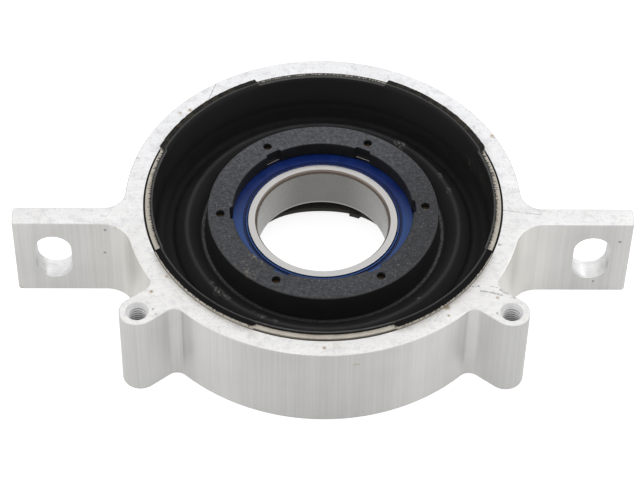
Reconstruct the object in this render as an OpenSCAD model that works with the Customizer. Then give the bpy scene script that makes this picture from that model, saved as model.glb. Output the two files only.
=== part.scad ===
// Driveshaft centre bearing: an extruded aluminium bracket holds a rubber-sprung,
// sealed deep-groove ball bearing. The origin is the bearing's centre, +Z runs along
// the shaft, the mounting ears point along X and the two threaded bosses lie at -Y.

/* [Bearing] */
// Bore of the inner race, for the shaft
bore_d = 40; // [36:0.5:43]
// Outside diameter of the outer race
bearing_od = 68; // [65:0.5:70]
// Width of both races
bearing_w = 15; // [14:0.5:16.5]
// Diameter of the balls
ball_d = 7.94; // [6.5:0.01:8.2]
// Number of balls
ball_count = 12; // [8:1:13]
// Radial gap between the lands of the two races
land_gap = 4.8; // [4.2:0.1:5.6]
// Thickness of each race beside the seals, as a share of the bearing's radial section
race_rim_share = 0.2; // [0.16:0.01:0.23]
// Depth of the recess for each seal
seal_recess = 1.7; // [1.4:0.1:2]
// Chamfer at the ends of the races
race_chamfer = 0.7; // [0.3:0.1:0.9]
// Radius of the ball grooves as a multiple of the ball's radius
groove_conformity = 1.04; // [1.02:0.01:1.06]

/* [Seals] */
// Thickness of a seal
seal_t = 1.3; // [0.9:0.1:1.4]
// Width of the ring-shaped groove beside the seal's lip
seal_groove_w = 0.8; // [0.4:0.1:1.2]
// Depth of that groove
seal_groove_depth = 0.5; // [0.2:0.1:0.7]
// Width of the lip inside that groove
seal_lip_w = 0.9; // [0.5:0.1:1.5]

/* [Cage] */
// Thickness of the cage's steel strip
cage_t = 0.8; // [0.5:0.1:1]
// Radial width of the cage's steel strip
cage_w = 3; // [2:0.1:3.6]
// Diameter of the rivet shanks
rivet_d = 1.2; // [0.8:0.1:1.6]
// Diameter of the rivet heads
rivet_head_d = 2.2; // [1.8:0.1:2.8]
// Height of the rivet heads
rivet_head_h = 0.4; // [0.2:0.1:0.7]

/* [Housing] */
// Outside diameter of the ring
housing_od = 120; // [118:0.5:124]
// Wall of the ring
housing_wall = 5.7; // [4.5:0.1:7]
// Height of the housing, along the shaft
housing_h = 30; // [28:0.5:36]
// Height of the housing's upper face above the bearing's centre
housing_top = 16; // [15:0.5:18]
// Distance between the tips of the two ears
ear_span = 187; // [182:0.5:200]
// Thickness of an ear
ear_t = 6.8; // [5:0.1:9]
// Distance of the ears' rear faces in front of the shaft's axis
ear_offset = 3; // [0:0.1:6]
// Corner radius at the ears' tips
ear_corner = 1.2; // [0.5:0.1:2]
// Fillet between the ears' rear faces and the ring
ear_rear_fillet = 6.5; // [3:0.5:9]
// Fillet between the ears' front faces and the ring
ear_front_fillet = 9; // [4:0.5:11]
// Distance of the mounting slots from the tips of the ears
slot_inset = 11.8; // [9:0.1:14]
// Width of a mounting slot
slot_w = 11; // [9:0.1:12]
// Length of a mounting slot, along the shaft
slot_l = 18.4; // [14:0.1:22]

/* [Bosses] */
// Distance between the two threaded holes
boss_spacing = 109; // [104:0.2:114]
// Distance of the threaded holes in front of the shaft's axis
boss_offset = 43.3; // [40:0.1:46]
// Radius of the rounded end of a boss
boss_r = 5.4; // [4.5:0.1:6.5]
// Fillet between a boss and the ring
boss_fillet = 3.5; // [2:0.1:5]
// Core diameter of the M6 threaded holes
thread_core_d = 5; // [4:0.1:6]
// Diameter of the countersinks at the threaded holes
countersink_d = 6.8; // [6.2:0.1:8]
// Depth of those countersinks
countersink_h = 1.5; // [0.8:0.1:2.5]

/* [Outer sleeve] */
// Wall of the steel sleeve
sleeve_wall = 2.1; // [1.6:0.1:2.4]
// Distance of the sleeve's lower end inside the housing's lower face
sleeve_inset = 0.3; // [0.1:0.1:1]
// Height of the sleeve's upper rim above the housing's upper face
sleeve_proud = 0.4; // [0.2:0.1:0.8]
// Number of raised tabs on the upper rim
tab_count = 4; // [3:1:6]
// Angle that each tab spans
tab_angle = 45; // [30:1:50]
// Height of the tabs above the rim
tab_rise = 0.9; // [0.5:0.1:1.4]
// How far the sleeve's upper end stands in from the housing's bore
neck_step = 0.5; // [0.3:0.1:0.8]
// Depth of that step below the housing's upper face
neck_depth = 1.2; // [0.8:0.1:2]
// Chamfer at the sleeve's lower outer edge
sleeve_chamfer = 0.4; // [0.2:0.1:0.6]

/* [Carrier] */
// Wall of the steel carrier round the outer race
carrier_wall = 1.1; // [0.8:0.1:1.4]
// Width of the carrier's rolled lower edge
carrier_roll = 2.6; // [2:0.1:3.4]

/* [Rubber] */
// Thickness of the lining at its upper rim
lining_top = 0.75; // [0.5:0.05:1]
// Height of the lining's upper rim above the sleeve's rim
lining_rise = 0.6; // [0.3:0.1:0.9]
// Thickness of the rubber over the sleeve's tabs
lap_t = 0.25; // [0.15:0.05:0.5]
// Thickness of the lining at the foot of its wall
lining_foot = 1.3; // [0.9:0.1:2]
// Height of the lining's lower edge above the housing's lower face
lining_end = 4; // [2:0.5:6]
// Thickness of the membrane
membrane_t = 2.4; // [1.8:0.1:2.8]
// Depth of the membrane's floor below the housing's upper face
floor_depth = 14; // [13:0.2:16]
// Half width of the membrane's raised lobe
lobe_r = 3.4; // [3:0.1:3.8]
// Height of the lobe's crest above the membrane's floor
lobe_rise = 4.2; // [3.8:0.1:5]
// Fillet between the lining's wall and the floor
wall_fillet = 2.5; // [1:0.1:3.5]
// Width of the valley between the lobe and the flash ridge
valley_w = 1.1; // [0.6:0.1:1.6]
// Height of the valley above the membrane's floor
valley_rise = 0.6; // [0.3:0.1:1.6]
// Width of the flash ridge round the hub's foot
flash_w = 1; // [0.6:0.1:1.6]
// Height of the flash ridge above that valley
flash_rise = 0.4; // [0.2:0.1:1]
// Thickness of the hub's foot round the carrier
hub_wall = 0.8; // [0.7:0.1:1.6]
// How far the hub narrows from its foot to its upper face
hub_taper = 1; // [0.6:0.1:1.2]
// Width of the hub's upper face
hub_face = 7.6; // [6.8:0.1:8]
// Height of the hub's upper face above the bearing
hub_rise = 4.5; // [3:0.1:5.5]
// Chamfer round the hub's upper face
hub_chamfer = 0.4; // [0.2:0.1:0.8]
// Thickness of the hub's inner skirt, over the edge of the carrier's flange
skirt_t = 0.7; // [0.5:0.1:1]
// Diameter of the locating-pin holes in the hub's upper face
pin_d = 2.4; // [1.5:0.1:3]
// Number of pin holes, each with a notch beside it
pin_count = 6; // [3:1:12]
// Angle of the first pin hole
pin_angle = 3; // [0:1:30]
// Radial depth of the notches in the hub's inner edge
notch_depth = 0.9; // [0.5:0.1:1.6]
// Angle that each notch spans
notch_angle = 10; // [6:1:16]
// Distance of the hub's lower lip from the shaft
lip_gap = 1.5; // [1:0.1:3]
// Thickness of the lower lip at its edge
lip_t = 1.6; // [1:0.1:2]
// Depth of the hub's lower end below the bearing
hub_drop = 4.9; // [4.2:0.1:5.4]

/* [Hidden] */
$fn = 96;
// Clearance where one piece is pressed or bonded into another
fit_gap = 0.05;
// Radial clearance between a ball and the grooves
ball_gap = 0.03;
// Clearance between a ball and its pocket
pocket_gap = 0.15;
// Clearance between pieces that turn past each other
run_gap = 0.15;
// How far a cutting shape reaches past the face that it opens
cut = 1;
// How far an arc passes the straight edge that it meets, so that the two cross
arc_dip = 0.01;
// Straight steps that stand for an arc in an outline
arc_steps = 10;

bore_r = bore_d / 2;
bearing_r = bearing_od / 2;
bearing_top = bearing_w / 2;
pitch_r = (bore_r + bearing_r) / 2;
ball_r = ball_d / 2;
groove_r = ball_r * groove_conformity;
groove_shift = groove_r - ball_r - ball_gap;
race_rim = race_rim_share * (bearing_r - bore_r);
seal_seat_r = bore_r + race_rim;
seal_or = bearing_r - race_rim;
recess_z = bearing_top - seal_recess;
seal_z = recess_z + run_gap;

cage_split = fit_gap / 2;
pocket_r = ball_r + pocket_gap;

housing_bottom = housing_top - housing_h;
ring_r = housing_od / 2;
ring_bore_r = ring_r - housing_wall;
ear_tip = ear_span / 2;
slot_x = ear_tip - slot_inset;
slot_z = housing_top - housing_h / 2;
boss_angle = -atan2(boss_offset, boss_spacing / 2);
boss_reach = norm([boss_spacing / 2, boss_offset]);

sleeve_r = ring_bore_r - fit_gap;
sleeve_ir = sleeve_r - sleeve_wall;
sleeve_top = housing_top + sleeve_proud;
sleeve_bottom = housing_bottom + sleeve_inset;
tab_top = sleeve_top + tab_rise;
neck_r = sleeve_r - neck_step;
neck_z = housing_top - neck_depth;

carrier_ir = bearing_r + fit_gap;
carrier_r = carrier_ir + carrier_wall;
roll_ir = carrier_r - carrier_roll;
flange_z = bearing_top + fit_gap;
flange_top = flange_z + carrier_wall;

hub_ir = carrier_r + fit_gap;
hub_r = hub_ir + hub_wall;
face_r = hub_r - hub_taper;
face_ir = face_r - hub_face;
skirt_r = face_ir + skirt_t;
flange_ir = skirt_r + fit_gap;
hub_seat_z = flange_top + fit_gap;
hub_top = bearing_top + hub_rise;
hub_bottom = -bearing_top - hub_drop;
floor_top = housing_top - floor_depth;
floor_bottom = floor_top - membrane_t;
lobe_z = floor_top + lobe_rise - lobe_r;
wall_r = sleeve_ir - lining_foot;
valley_z = floor_top + valley_rise;
flash_r = hub_r + flash_w;
flash_z = valley_z + flash_rise;
lobe_mid = flash_r + valley_w + lobe_r;
lip_r = bore_r + lip_gap;
notch_r = face_ir + notch_depth;

// Points on an arc round a centre, from one angle to another
function arc(centre, r, from, to) = [
    for (i = [0:arc_steps]) let (a = from + (to - from) * i / arc_steps) centre + r * [cos(a), sin(a)]
];
function two_digits(i) = str(i < 10 ? "0" : "", i);
function ball_name(i) = str("ball_", two_digits(i));
function ball_angle(i) = 360 * (i - 1) / ball_count;

module both_sides() {
    children();
    mirror([1, 0, 0]) children();
}

module both_ends() {
    children();
    mirror([0, 0, 1]) children();
}

module at_balls() {
    for (i = [1:ball_count]) rotate(ball_angle(i)) translate([pitch_r, 0, 0]) children();
}

module at_pins() {
    for (i = [0:pin_count - 1]) rotate(pin_angle + 360 * i / pin_count) children();
}

module ring(inner, outer, low, high) {
    rotate_extrude() translate([inner, low]) square([outer - inner, high - low]);
}

// Sector of a ring, centred on the X axis
module sector(inner, outer, low, high, angle) {
    rotate(-angle / 2) rotate_extrude(angle = angle) translate([inner, low]) square([outer - inner, high - low]);
}

// Fillet between the ring and a straight edge that runs outwards along X at the height y
module ring_fillet(y, f) {
    along = sqrt(pow(ring_r + f, 2) - pow(y + f, 2));
    centre = [along, y + f];
    inside = [sqrt(pow(ring_r, 2) - pow(y, 2)) - 2 * cut, y - cut];
    difference() {
        polygon([centre, [along, y], inside, centre * ring_r / (ring_r + f)]);
        translate(centre) circle(r = f + arc_dip);
    }
}

module ear_profile() {
    front = ear_offset + ear_t;
    corner_x = ear_tip - ear_corner;
    polygon(concat(
        [[0, -ear_offset], [0, -front]],
        arc([corner_x, -front + ear_corner], ear_corner, -90, 0),
        arc([corner_x, -ear_offset - ear_corner], ear_corner, 0, 90)
    ));
    ring_fillet(-ear_offset, ear_rear_fillet);
    mirror([0, 1]) ring_fillet(front, ear_front_fillet);
}

module boss_profile() {
    rotate(boss_angle) {
        translate([0, arc_dip - boss_r]) square([boss_reach, 2 * (boss_r - arc_dip)]);
        translate([boss_reach, 0]) circle(r = boss_r);
        ring_fillet(boss_r, boss_fillet);
        mirror([0, 1]) ring_fillet(boss_r, boss_fillet);
    }
}

module slot_profile() {
    straight = slot_l - slot_w;
    square([slot_w - 2 * arc_dip, straight], center = true);
    for (side = [-1, 1]) translate([0, side * straight / 2]) circle(d = slot_w);
}

module threaded_hole() {
    mouth_d = countersink_d + (countersink_d - thread_core_d) * cut / countersink_h;
    translate([0, 0, housing_bottom - cut]) cylinder(d = thread_core_d, h = housing_h + 2 * cut);
    for (end = [0, 1]) {
        translate([0, 0, end ? housing_top : housing_bottom]) mirror([0, 0, 1 - end]) {
            translate([0, 0, -countersink_h])
                cylinder(d1 = thread_core_d, d2 = mouth_d, h = countersink_h + cut);
        }
    }
}

module housing() {
    color("gainsboro") difference() {
        translate([0, 0, housing_bottom]) {
            cylinder(r = ring_r, h = housing_h);
            both_sides() {
                linear_extrude(housing_h) ear_profile();
                linear_extrude(housing_h) boss_profile();
            }
        }
        translate([0, 0, housing_bottom - cut]) cylinder(r = ring_bore_r, h = housing_h + 2 * cut);
        both_sides() {
            translate([slot_x, -ear_offset + cut, slot_z]) rotate([90, 0, 0])
                linear_extrude(ear_t + 2 * cut) slot_profile();
            translate([boss_spacing / 2, -boss_offset, 0]) threaded_hole();
        }
    }
}

// The steel sleeve, with its upper rim cut down between the tabs
module outer_sleeve() {
    tab_step = 360 / tab_count;
    color("tan") difference() {
        rotate_extrude() polygon([
            [sleeve_ir, sleeve_bottom],
            [sleeve_r - sleeve_chamfer, sleeve_bottom],
            [sleeve_r, sleeve_bottom + sleeve_chamfer],
            [sleeve_r, neck_z - neck_step],
            [neck_r, neck_z],
            [neck_r, tab_top],
            [sleeve_ir, tab_top]
        ]);
        for (i = [1:tab_count]) {
            rotate(i * tab_step)
                sector(sleeve_ir - cut, sleeve_r + cut, sleeve_top, tab_top + cut, tab_step - tab_angle);
        }
    }
}

// Half section of the moulding, from the rim inwards over the lobe and the hub and back below
module rubber_section() {
    rim_r = sleeve_ir - lining_top;
    bond_r = sleeve_ir - fit_gap;
    hollow_r = lobe_r - membrane_t;
    foot_angle = asin((floor_top - lobe_z) / lobe_r);
    valley_angle = 180 - asin((valley_z - lobe_z) / lobe_r);
    fillet = min(wall_fillet, wall_r - lobe_mid - lobe_r);
    lining_z = sleeve_top + lining_rise;
    end_z = housing_bottom + lining_end;
    polygon(concat(
        [[bond_r, lining_z], [rim_r, lining_z]],
        arc([wall_r - fillet, floor_top + fillet], fillet, 0, -90),
        arc([lobe_mid, lobe_z], lobe_r, foot_angle, valley_angle),
        [[flash_r, valley_z], [flash_r, flash_z], [hub_r, flash_z]],
        [[face_r, hub_top - hub_chamfer], [face_r - hub_chamfer, hub_top]],
        [[face_ir, hub_top], [face_ir, flange_z], [skirt_r, flange_z]],
        [[skirt_r, hub_seat_z], [hub_ir, hub_seat_z]],
        [[hub_ir, -hub_seat_z], [roll_ir, -hub_seat_z]],
        [[flange_ir, hub_bottom + lip_t], [lip_r, hub_bottom + lip_t], [lip_r, hub_bottom]],
        [[hub_r - hub_chamfer, hub_bottom], [hub_r, hub_bottom + hub_chamfer]],
        [[hub_r, floor_bottom - membrane_t], [lobe_mid - lobe_r, floor_bottom]],
        [[lobe_mid - hollow_r, floor_bottom]],
        arc([lobe_mid, lobe_z], hollow_r, 180, 0),
        [[lobe_mid + hollow_r, floor_bottom]],
        arc([wall_r - fillet, floor_bottom - fillet], fillet, 90, 0),
        [[rim_r, end_z], [bond_r, end_z]]
    ));
}

// Section of the rubber that laps over a tab, from the middle of the lining outwards
module lap_section() {
    quarter = lining_top / 4;
    lap_z = tab_top + fit_gap;
    polygon([
        [sleeve_ir - 3 * quarter, sleeve_top],
        [sleeve_ir - quarter, sleeve_top],
        [sleeve_ir - quarter, lap_z],
        [neck_r, lap_z],
        [neck_r, lap_z + lap_t],
        [sleeve_ir - 3 * quarter, lap_z + lap_t]
    ]);
}

module rubber_isolator() {
    color("#26272a") {
        difference() {
            rotate_extrude() rubber_section();
            at_pins() {
                translate([(face_r + face_ir) / 2, 0, hub_seat_z - cut]) cylinder(d = pin_d, h = hub_rise + cut);
                sector(face_ir - cut, notch_r, flange_z - cut, hub_top + cut, notch_angle);
            }
        }
        for (i = [1:tab_count]) {
            rotate((i - 0.5) * 360 / tab_count - tab_angle / 2) rotate_extrude(angle = tab_angle) lap_section();
        }
    }
}

module carrier_ring() {
    color("wheat") rotate_extrude() {
        translate([carrier_ir, -flange_top]) square([carrier_wall, 2 * flange_top]);
        translate([flange_ir, flange_z]) square([carrier_r - flange_ir, carrier_wall]);
        translate([roll_ir, -flange_top]) square([carrier_roll, carrier_wall]);
    }
}

module outer_race() {
    land = pitch_r + land_gap / 2;
    color("silver") rotate_extrude() difference() {
        polygon([
            [land, -recess_z],
            [seal_or, -recess_z],
            [seal_or, -bearing_top],
            [bearing_r - race_chamfer, -bearing_top],
            [bearing_r, -bearing_top + race_chamfer],
            [bearing_r, bearing_top - race_chamfer],
            [bearing_r - race_chamfer, bearing_top],
            [seal_or, bearing_top],
            [seal_or, recess_z],
            [land, recess_z]
        ]);
        translate([pitch_r - groove_shift, 0]) circle(r = groove_r);
    }
}

module inner_race() {
    land = pitch_r - land_gap / 2;
    color("silver") rotate_extrude() difference() {
        polygon([
            [bore_r, -bearing_top + race_chamfer],
            [bore_r + race_chamfer, -bearing_top],
            [seal_seat_r, -bearing_top],
            [seal_seat_r, -recess_z],
            [land, -recess_z],
            [land, recess_z],
            [seal_seat_r, recess_z],
            [seal_seat_r, bearing_top],
            [bore_r + race_chamfer, bearing_top],
            [bore_r, bearing_top - race_chamfer]
        ]);
        translate([pitch_r + groove_shift, 0]) circle(r = groove_r);
    }
}

module seal_upper() {
    lip = seal_seat_r + run_gap;
    groove = lip + seal_lip_w;
    color("#2a4d9b") difference() {
        ring(lip, seal_or - fit_gap, seal_z, seal_z + seal_t);
        ring(groove, groove + seal_groove_w, seal_z + seal_t - seal_groove_depth, seal_z + seal_t + cut);
    }
}

module seal_lower() {
    mirror([0, 0, 1]) seal_upper();
}

// Places between the balls, in the middle of the cage's flat strips
module at_rivets() {
    half_step = 180 / ball_count;
    for (i = [1:ball_count]) {
        rotate(ball_angle(i) + half_step) translate([pitch_r * cos(half_step), 0, 0]) children();
    }
}

module rivet_shanks(d) {
    at_rivets() translate([0, 0, -cage_split - cage_t]) cylinder(d = d, h = 2 * (cage_split + cage_t));
}

// Half of the ribbon cage: flat strips between the balls and an arch over each ball
module cage_upper() {
    half_step = 180 / ball_count;
    arch_r = pocket_r + cage_t;
    strip_l = 2 * (pitch_r * sin(half_step) - (pocket_r + cage_t / 2) * cos(half_step));
    color("darkgoldenrod") difference() {
        union() {
            at_balls() rotate([90, 0, 90]) linear_extrude(cage_w, center = true) difference() {
                circle(r = arch_r);
                circle(r = pocket_r);
                translate([-arch_r - cut, cage_split - arch_r - cut]) square([2, 1] * (arch_r + cut));
            }
            for (i = [1:ball_count]) rotate(ball_angle(i) + half_step) {
                translate([pitch_r * cos(half_step) - cage_w / 2, -strip_l / 2, cage_split])
                    cube([cage_w, strip_l, cage_t]);
            }
        }
        rivet_shanks(rivet_d + 2 * fit_gap);
    }
}

module cage_lower() {
    mirror([0, 0, 1]) cage_upper();
}

module cage_rivets() {
    color("darkgray") {
        rivet_shanks(rivet_d);
        both_ends() at_rivets() translate([0, 0, cage_split + cage_t])
            cylinder(d = rivet_head_d, h = rivet_head_h);
    }
}

module ball(i) {
    color("lightgray") rotate(ball_angle(i)) translate([pitch_r, 0, 0]) sphere(d = ball_d);
}

housing();
outer_sleeve();
rubber_isolator();
carrier_ring();
outer_race();
inner_race();
seal_upper();
seal_lower();
cage_upper();
cage_lower();
cage_rivets();
for (i = [1:ball_count]) {
    ball(i);
}
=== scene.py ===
"""Looks, light and camera for the driveshaft centre bearing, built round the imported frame."""

import math

import bmesh
import bpy
import numpy as np
from mathutils import Matrix, Vector, noise


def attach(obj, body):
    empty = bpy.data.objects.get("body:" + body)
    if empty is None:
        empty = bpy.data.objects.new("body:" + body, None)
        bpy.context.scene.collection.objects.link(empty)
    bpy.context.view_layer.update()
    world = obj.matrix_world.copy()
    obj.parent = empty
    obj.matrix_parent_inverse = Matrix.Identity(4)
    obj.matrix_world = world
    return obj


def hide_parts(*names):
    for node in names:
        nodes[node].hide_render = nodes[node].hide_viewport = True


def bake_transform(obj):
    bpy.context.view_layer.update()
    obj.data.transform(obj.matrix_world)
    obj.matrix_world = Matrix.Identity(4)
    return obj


MM = 0.001
SMOOTH_ANGLE = 35

# Sizes of the CAD part, in millimetres and degrees
TOP, BOTTOM = 16.0, -14.0
BORE_R = 54.3
EAR_REAR, EAR_FRONT = -3.0, -9.8
SLOT_X, SLOT_Z, SLOT_R, SLOT_HALF = 81.7, 1.0, 5.5, 3.7
BOSS_X, BOSS_Y = 54.5, -43.3
SLEEVE_R, SLEEVE_IR, NECK_R = 54.25, 52.15, 53.75
SLEEVE_TOP, SLEEVE_BOTTOM, NECK_Z, TAB_RISE = 16.4, -13.7, 14.8, 0.9
PIN_ANGLES = [3 + 60 * i for i in range(6)]
PIN_R, PIN_CIRCLE_R, PIN_FLOOR = 1.2, 31.2, 9.9
HUB_SEAT, HUB_TOP, HUB_BOTTOM = 8.7, 12.0, -12.4
LOBE_R, LOBE_Z = 41.5, 2.8
LIP_R = 20.95
GROOVE_FLOOR, GROOVE_R = 23.0, 4.1288

# Sectors as centres, half width and soft edge: the rim's tabs, the hub's notches, a tag on the lower lip
# and a stretch where the rubber's lap is short
TAB_SECTORS = ([45, 135, 225, 315], 22.5, 0.4)
NOTCH_SECTORS = (PIN_ANGLES, 5, 0.5)
LIP_TAG = ([60.9], 4.4, 0.3)
SHORT_LAP = ([231], 16, 3)

# Camera fitted to the photo: angles in degrees, place in metres, focal length in pixels of the picture
CAMERA_ELEVATION, CAMERA_PAN, CAMERA_ROLL = 48.934, -1.4536, 1.2622
CAMERA_PLACE = (-0.013364, -0.498073, 0.569766)
FOCAL_PX, PICTURE_WIDTH_PX, SENSOR_MM = 2464.45, 640, 36.0

# Mesh attribute that keeps where a point of the rubber is at rest
REST_PLACE = "rest_place"

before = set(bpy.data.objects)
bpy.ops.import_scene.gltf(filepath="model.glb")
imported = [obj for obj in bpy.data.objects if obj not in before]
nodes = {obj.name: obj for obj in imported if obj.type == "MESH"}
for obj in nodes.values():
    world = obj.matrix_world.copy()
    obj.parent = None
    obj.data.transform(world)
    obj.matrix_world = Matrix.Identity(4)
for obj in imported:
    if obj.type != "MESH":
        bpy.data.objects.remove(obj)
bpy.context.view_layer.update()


def link(obj):
    bpy.context.scene.collection.objects.link(obj)
    return obj


def mesh_object(name, bm, smooth_angle=SMOOTH_ANGLE):
    """Object from a bmesh in metres, with smooth shading split at sharp edges."""
    bmesh.ops.recalc_face_normals(bm, faces=bm.faces)
    mesh = bpy.data.meshes.new(name)
    bm.to_mesh(mesh)
    bm.free()
    mesh.polygons.foreach_set("use_smooth", [True] * len(mesh.polygons))
    mesh.set_sharp_from_angle(angle=math.radians(smooth_angle))
    return link(bpy.data.objects.new(name, mesh))


def arc(centre, r, start, end, count):
    """Points on an arc, with angles in degrees."""
    angles = np.radians(np.linspace(start, end, count))
    return [(centre[0] + r * math.cos(a), centre[1] + r * math.sin(a)) for a in angles]


def rounded(points, count=4):
    """Outline with rounded corners: each point is (r, z, radius, tag)."""
    out = []
    total = len(points)
    for i, (x, z, radius, tag) in enumerate(points):
        here = Vector((x, z))
        before = Vector(points[i - 1][:2]) - here
        after = Vector(points[(i + 1) % total][:2]) - here
        if radius <= 0:
            out.append((x, z, tag))
            continue
        turn = before.angle(after)
        reach = min(radius / math.tan(turn / 2), 0.48 * before.length, 0.48 * after.length)
        a = here + before.normalized() * reach
        b = here + after.normalized() * reach
        for k in range(count + 1):
            t = k / count
            p = a * (1 - t) ** 2 + here * 2 * t * (1 - t) + b * t * t
            out.append((p.x, p.y, tag))
    return out


def lathe(bm, profile, angles, shape=None):
    """Closed ring of a closed profile, whose points shape may move at each angle."""
    rings = []
    for angle in angles:
        turn = math.radians(angle)
        ring = []
        for r, z, tag in profile:
            if shape:
                r, z = shape(r, z, tag, angle)
            ring.append(bm.verts.new((r * math.cos(turn) * MM, r * math.sin(turn) * MM, z * MM)))
        rings.append(ring)
    for ring, other in zip(rings, rings[1:] + rings[:1]):
        for j in range(len(ring)):
            k = (j + 1) % len(ring)
            bm.faces.new((ring[j], other[j], other[k], ring[k]))


def away(angle, centre):
    """Difference of two angles, from -180 to 180 degrees."""
    return (angle - centre + 180) % 360 - 180


def step(value, low, high):
    """Smooth rise from 0 at the low value to 1 at the high one."""
    t = min(max((value - low) / (high - low), 0), 1)
    return t * t * (3 - 2 * t)


def in_sector(angle, centres, half, edge):
    """1 inside the sectors round the centres and 0 outside, over a narrow edge."""
    return max(1 - step(abs(away(angle, c)), half - edge, half + edge) for c in centres)


def even_angles(count, centres=(), half=0.0, edge=0.0):
    """Angles round a full turn, with extra ones where sectors begin and end."""
    angles = {round(360 * i / count, 4) for i in range(count)}
    for c in centres:
        for side in (-half, half):
            for shift in (-edge, edge):
                angles.add(round((c + side + shift) % 360, 4))
    return sorted(angles)


class Look:
    """A material and short ways to wire its nodes. Its places and radii are in metres."""

    def __init__(self, name, **constants):
        self.material = bpy.data.materials.new(name)
        self.material.use_nodes = True
        self.tree = self.material.node_tree
        self.tree.nodes.clear()
        self.shader = self.node("ShaderNodeBsdfPrincipled")
        for key, value in constants.items():
            self.shader.inputs[key.replace("_", " ")].default_value = value
        out = self.node("ShaderNodeOutputMaterial")
        self.tree.links.new(self.shader.outputs[0], out.inputs[0])
        self.place = self.node("ShaderNodeTexCoord").outputs["Object"]
        self.normal = self.node("ShaderNodeNewGeometry").outputs["Normal"]

    def node(self, kind, **settings):
        node = self.tree.nodes.new(kind)
        for key, value in settings.items():
            setattr(node, key, value)
        return node

    def feed(self, socket, value):
        """Links a socket to another one, or sets its value."""
        if isinstance(value, bpy.types.NodeSocket):
            self.tree.links.new(value, socket)
        else:
            socket.default_value = value

    def math(self, operation, *values, clamp=False):
        node = self.node("ShaderNodeMath", operation=operation, use_clamp=clamp)
        for socket, value in zip(node.inputs, values):
            self.feed(socket, value)
        return node.outputs[0]

    def chain(self, operation, values):
        """One operation through all the values, from the first on."""
        result = values[0]
        for value in values[1:]:
            result = self.math(operation, result, value)
        return result

    def plus(self, *values):
        return self.chain("ADD", values)

    def minus(self, a, b):
        return self.math("SUBTRACT", a, b)

    def times(self, *values):
        return self.chain("MULTIPLY", values)

    def most(self, *values):
        return self.chain("MAXIMUM", values)

    def length(self, a, b):
        """Length of a vector from its two parts."""
        return self.math("SQRT", self.plus(self.times(a, a), self.times(b, b)))

    def vector(self, operation, a, b, output="Vector"):
        node = self.node("ShaderNodeVectorMath", operation=operation)
        self.feed(node.inputs[0], a)
        self.feed(node.inputs[1], b)
        return node.outputs[output]

    def scale(self, vector, factor):
        node = self.node("ShaderNodeVectorMath", operation="SCALE")
        self.feed(node.inputs[0], vector)
        self.feed(node.inputs["Scale"], factor)
        return node.outputs[0]

    def split(self, vector):
        node = self.node("ShaderNodeSeparateXYZ")
        self.feed(node.inputs[0], vector)
        return node.outputs

    def joined(self, x, y, z):
        node = self.node("ShaderNodeCombineXYZ")
        for socket, value in zip(node.inputs, (x, y, z)):
            self.feed(socket, value)
        return node.outputs[0]

    def radius(self):
        x, y, _ = self.split(self.place)
        return self.length(x, y)

    def angle(self):
        x, y, _ = self.split(self.place)
        return self.math("ARCTAN2", y, x)

    def scaled(self, x, y, z):
        """The place, stretched along each axis."""
        return self.vector("MULTIPLY", self.place, (x, y, z))

    def noise(self, vector, scale, detail, rough):
        node = self.node("ShaderNodeTexNoise")
        self.feed(node.inputs["Vector"], vector)
        node.inputs["Scale"].default_value = scale
        node.inputs["Detail"].default_value = detail
        node.inputs["Roughness"].default_value = rough
        return node.outputs[0]

    def ramp(self, value, low, high, to_low=0.0, to_high=1.0):
        """Smooth change from to_low to to_high while a value goes from low to high."""
        node = self.node("ShaderNodeMapRange", interpolation_type="SMOOTHSTEP")
        self.feed(node.inputs["Value"], value)
        node.inputs["From Min"].default_value = low
        node.inputs["From Max"].default_value = high
        node.inputs["To Min"].default_value = to_low
        node.inputs["To Max"].default_value = to_high
        return node.outputs[0]

    def speckle(self, scale, detail, rough, *limits):
        """Noise over the surface, put through a ramp with the limits."""
        return self.ramp(self.noise(self.place, scale, detail, rough), *limits)

    def window(self, value, low, high, soft):
        """1 between two values and 0 outside, with soft edges."""
        rise = self.ramp(value, low - soft, low + soft)
        return self.times(rise, self.ramp(value, high - soft, high + soft, 1, 0))

    def spot(self, point, r, soft=0.5):
        """1 near a point in millimetres and 0 away from it."""
        gap = self.vector("DISTANCE", self.place, [c * MM for c in point], "Value")
        return self.ramp(gap, r * MM * (1 - soft), r * MM * (1 + soft), 1, 0)

    def stroke(self, start, end, width):
        """1 near the line between two points in millimetres and 0 away from it."""
        a, b = Vector(start) * MM, Vector(end) * MM
        offset = self.vector("SUBTRACT", self.place, a)
        along = self.vector("DOT_PRODUCT", offset, (b - a) / (b - a).length_squared, "Value")
        share = self.math("MULTIPLY", along, 1.0, clamp=True)
        gap = self.vector("DISTANCE", offset, self.scale(b - a, share), "Value")
        return self.ramp(gap, 0.3 * width * MM, width * MM, 1, 0)

    def spots(self, marks):
        return self.most(*[self.spot(*mark) for mark in marks])

    def strokes(self, marks):
        return self.most(*[self.stroke(*mark) for mark in marks])

    def mix(self, share, a, b):
        node = self.node("ShaderNodeMix", data_type="RGBA")
        self.feed(node.inputs["Factor"], share)
        for socket, value in ((node.inputs[6], a), (node.inputs[7], b)):
            self.feed(socket, (*value, 1) if isinstance(value, tuple) else value)
        return node.outputs[2]

    def colour(self, value):
        self.feed(self.shader.inputs["Base Color"], value)

    def grey(self, tone):
        self.colour(self.joined(tone, tone, tone))

    def roughness(self, value):
        self.feed(self.shader.inputs["Roughness"], value)

    def bump(self, height, distance, strength):
        node = self.node("ShaderNodeBump")
        node.inputs["Strength"].default_value = strength
        node.inputs["Distance"].default_value = distance * MM
        self.feed(node.inputs["Height"], height)
        self.feed(self.shader.inputs["Normal"], node.outputs[0])


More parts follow.
